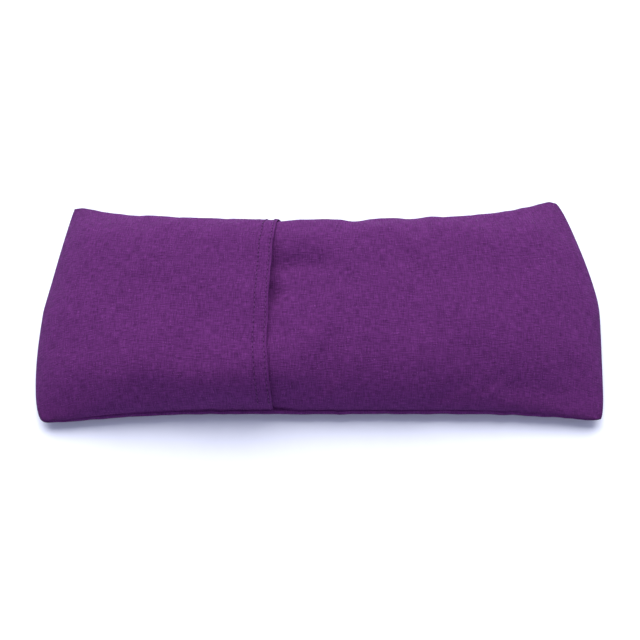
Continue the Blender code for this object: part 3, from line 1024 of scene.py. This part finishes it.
def woven(name, dark, light, pitch, slub, sheen):
    """Plain-woven cloth with uneven yarns, in colours from dark to light."""
    make = Shader(name)
    x, y = make.place("weave_place")
    # slubs: thick and thin stretches of single yarns
    warp_slub = make.noise(x, y, pitch * 0.6, SLUB_LENGTH, detail=0, shift=11)
    weft_slub = make.noise(x, y, SLUB_LENGTH, pitch * 0.6, detail=0, shift=17)
    warp_sway = make.noise(x, y, 0.010, 0.020, shift=3)
    weft_sway = make.noise(x, y, 0.020, 0.010, shift=5)
    warp, warp_tone, warp_high = yarns(make, x, warp_sway, warp_slub, pitch)
    weft, weft_tone, weft_high = yarns(make, y, weft_sway, weft_slub, pitch)
    over = make.remap(make.times(warp, weft), -0.35, 0.35)
    high = make.add("ShaderNodeMix", 0, {0: over, 2: weft_high, 3: warp_high})
    tone = make.add("ShaderNodeMix", 0, {0: over, 2: weft_tone, 3: warp_tone})
    # colour: yarn tone, painted shade in the low gaps between yarns, and slow mottling
    streak = make.math("ADD", make.times(warp_tone, 0.5), make.times(weft_tone, 0.5))
    patch = make.noise(x, y, pitch * 1.1, pitch * 1.1, detail=1, shift=23)
    level = make.times(streak, slub)
    # the yarns' height lightens their tops and darkens the gaps between them: painted shade
    for part, weight in ((tone, 0.25), (patch, 0.25), (high, 0.08)):
        level = make.math("ADD", level, make.times(part, weight))
    level = make.remap(level, 0.04, slub + 0.54)
    colour = with_flecks(make, x, y, pitch, level, dark, light)
    slow = make.bump(make.math("ADD", warp_slub, weft_slub), 0.00022, 0.8)
    return make.finish({
        "Base Color": colour,
        "Roughness": make.remap(tone, 0, 1, 0.98, 0.86),
        "Normal": make.bump(high, 0.00016, 0.8, Normal=slow),
        "Sheen Weight": sheen,
        "Sheen Roughness": 0.55,
        "Sheen Tint": (*light, 1),
        "Specular IOR Level": 0.10,
    })


def spun(name, dark, light):
    """Sewing thread of two twisted plies."""
    make = Shader(name)
    x, y = make.place("thread_place")
    lay = make.math("ADD", make.times(x, 5200), make.times(y, 11000))
    ply = make.math("ABSOLUTE", make.math("SINE", lay))
    fuzz = make.noise(x, y, 0.0004, 0.0004, detail=3)
    # darker in the grooves between the two plies: painted shade; the fuzz varies the tone at
    # random
    level = make.math("ADD", make.times(ply, 0.6), make.times(fuzz, 0.4))
    colour = make.mix(level, (*dark, 1), (*light, 1))
    # darker towards the ends of each stitch, where it goes into the cloth: painted shade in the
    # stitch holes
    dive_shade = make.add("ShaderNodeAttribute", "Fac", attribute_name="thread_dive_shade")
    stitch_hole_shade = tuple(0.25 * value for value in dark)
    return make.finish({
        "Base Color": make.mix(dive_shade, colour, (*stitch_hole_shade, 1)),
        "Normal": make.bump(ply, 0.00005, 0.8),
        "Roughness": make.remap(fuzz, 0.3, 0.7, 0.62, 0.8),
        "Specular IOR Level": 0.15,
    })


def seed_finish(name):
    """Flax seeds from tan to deep brown, with some grey-violet lavender buds among them."""
    deep_brown = (0.13, 0.05, 0.02, 1)
    tan = (0.36, 0.18, 0.07, 1)
    violet = (0.21, 0.18, 0.29, 1)
    make = Shader(name)
    tone = make.add("ShaderNodeAttribute", "Fac", attribute_name="seed_tone")
    depth = make.add("ShaderNodeAttribute", "Fac", attribute_name="seed_depth")
    brown = make.mix(make.math("FRACT", make.times(tone, 7)), deep_brown, tan)
    bud = make.remap(tone, 0.86, 0.87)
    place = make.add("ShaderNodeTexCoord", "Object")
    speck = make.add("ShaderNodeTexNoise", 0, {"Vector": place, "Scale": 2400, "Detail": 2})
    # seeds lying lower among the others are darker: painted shade; the specks vary the tone at
    # random
    sunk = make.remap(depth, 0, 0.6, 0.25, 1)
    shade = make.times(sunk, make.remap(speck, 0.3, 0.7, 0.8, 1.1))
    grey = make.add("ShaderNodeCombineColor", 0, {0: shade, 1: shade, 2: shade})
    return make.finish({
        "Base Color": make.mix(1, make.mix(bud, brown, violet), grey, "MULTIPLY"),
        "Roughness": make.remap(speck, 0.3, 0.7, 0.28, 0.5),
        "Normal": make.bump(speck, 0.00006, 0.5),
    })


def floor_finish():
    """Plain white paper, faintly uneven."""
    make = Shader("white_paper")
    place = make.add("ShaderNodeTexCoord", "Object")
    grain = make.add("ShaderNodeTexNoise", 0, {"Vector": place, "Scale": 180, "Detail": 3})
    colour = make.mix(grain, (0.75, 0.78, 0.91, 1), (0.78, 0.81, 0.94, 1))
    rough = make.remap(grain, 0.3, 0.7, 0.85, 0.95)
    return make.finish({"Base Color": colour, "Roughness": rough})


# ---- the studio


def add_sun(name, strength, colour, azimuth, elevation, softness):
    """Soft parallel light from a direction; azimuth 0 is from the front and 90 from the right."""
    lamp = bpy.data.lights.new(name, "SUN")
    lamp.energy = strength
    lamp.color = colour
    lamp.angle = math.radians(softness)
    light = add_object(name, lamp)
    a = math.radians(azimuth)
    e = math.radians(elevation)
    towards = Vector((math.sin(a) * math.cos(e), -math.cos(a) * math.cos(e), math.sin(e)))
    light.rotation_euler = towards.to_track_quat("Z", "Y").to_euler()


def set_sky():
    """Bluish light from all sides, and plain white where the camera looks past the floor."""
    make = Shader("studio", "worlds")
    bpy.context.scene.world = make.owner
    sky = make.nodes["Background"]
    make.fill(sky, {"Color": (0.72, 0.76, 1, 1), "Strength": 0.45})
    white = make.add("ShaderNodeBackground", 0, {"Color": (1, 1, 1, 1)})
    seen = make.add("ShaderNodeLightPath", "Is Camera Ray")
    light = make.add("ShaderNodeMixShader", 0, {0: seen, 1: sky.outputs[0], 2: white})
    make.fill(make.nodes["World Output"], {0: light})


def set_studio():
    bpy.context.scene.view_settings.view_transform = "Standard"
    set_sky()
    add_sun("key", 5.7, (1, 0.99, 0.95), azimuth=184, elevation=46, softness=75)
    add_sun("fill", 0.65, (0.93, 0.95, 1), azimuth=0, elevation=28, softness=70)
    bpy.ops.mesh.primitive_plane_add(size=6)
    floor = bpy.context.object
    floor.name = "floor"
    floor.data.materials.append(floor_finish())


CAMERA_ELEVATION = math.radians(61.4)
CAMERA_DISTANCE = 0.3755
CAMERA_BASE = 0.008  # height of the point it circles
CAMERA_DIP = math.radians(1.08)  # how much lower than that point it looks


def set_camera():
    """The photograph's view: from the front, about 61 degrees above the floor."""
    camera = bpy.data.cameras.new("camera")
    camera.sensor_width = 36
    camera.lens = 50.6
    camera.clip_start = 0.01
    view = add_object("camera", camera)
    away = CAMERA_DISTANCE * math.cos(CAMERA_ELEVATION)
    up = CAMERA_DISTANCE * math.sin(CAMERA_ELEVATION)
    view.location = (0, -away, CAMERA_BASE + up)
    view.rotation_euler = (math.pi / 2 - CAMERA_ELEVATION - CAMERA_DIP, 0, 0)
    bpy.context.scene.camera = view


# ---- the whole pillow

CREASES = make_creases()
LINEN_DARK = (0.043, 0.0066, 0.056)
LINEN_LIGHT = (0.127, 0.0236, 0.159)
MUSLIN_DARK = (0.52, 0.46, 0.34)
MUSLIN_LIGHT = (0.76, 0.70, 0.57)
linen = woven("purple_linen", LINEN_DARK, LINEN_LIGHT, pitch=0.00056, slub=0.9, sheen=0.05)
linen_thread = spun("purple_thread", (0.045, 0.0072, 0.060), (0.140, 0.029, 0.175))
muslin = woven("unbleached_muslin", MUSLIN_DARK, MUSLIN_LIGHT, pitch=0.0004, slub=0.6, sheen=0.1)
muslin_thread = spun("cream_thread", (0.55, 0.50, 0.40), (0.78, 0.73, 0.62))
seeds = seed_finish("flax_and_lavender")

strip = make_strip(linen)
flap = make_flap(linen)
flap_edge = flap_row("flap_edge_thread", EDGE_ROW, linen_thread)
flap_hem = flap_row("flap_hem_thread", HEM_ROW, linen_thread)
panel_edge = panel_row("panel_edge_thread", EDGE_ROW, linen_thread)
panel_hem = panel_row("panel_hem_thread", HEM_ROW, linen_thread)
seam_front = seam_row("side_seam_front_thread", -1.0, linen_thread)
seam_back = seam_row("side_seam_back_thread", 1.0, linen_thread)
bag_upper = make_bag_panel("insert_bag_upper_cloth", "top", BAG_LIFT, muslin)
bag_lower = make_bag_panel("insert_bag_lower_cloth", "bottom", -BAG_LIFT, muslin)
bag_seam = make_bag_seam(muslin_thread)
bag_closing = make_closing_row(muslin_thread)
fill = make_fill(seeds)

for piece, node in (
    (strip, "cover_strip"), (panel_edge, "panel_edge_stitch"), (panel_hem, "panel_hem_stitch"),
    (seam_front, "side_seam_front"), (seam_back, "side_seam_back"),
):
    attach(piece, "cover")
    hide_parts(node)
for piece, node in (
    (flap, "flap_lip"), (flap_edge, "flap_edge_stitch"), (flap_hem, "flap_hem_stitch"),
):
    blend_with_flap(piece)
    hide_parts(node)
for piece, node in (
    (bag_upper, "insert_bag_upper"), (bag_lower, "insert_bag_lower"), (bag_seam, "insert_seam"),
    (bag_closing, "insert_closing_stitch"), (fill, "flax_and_lavender_fill"),
):
    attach(piece, "insert")
    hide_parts(node)

set_studio()
set_camera()
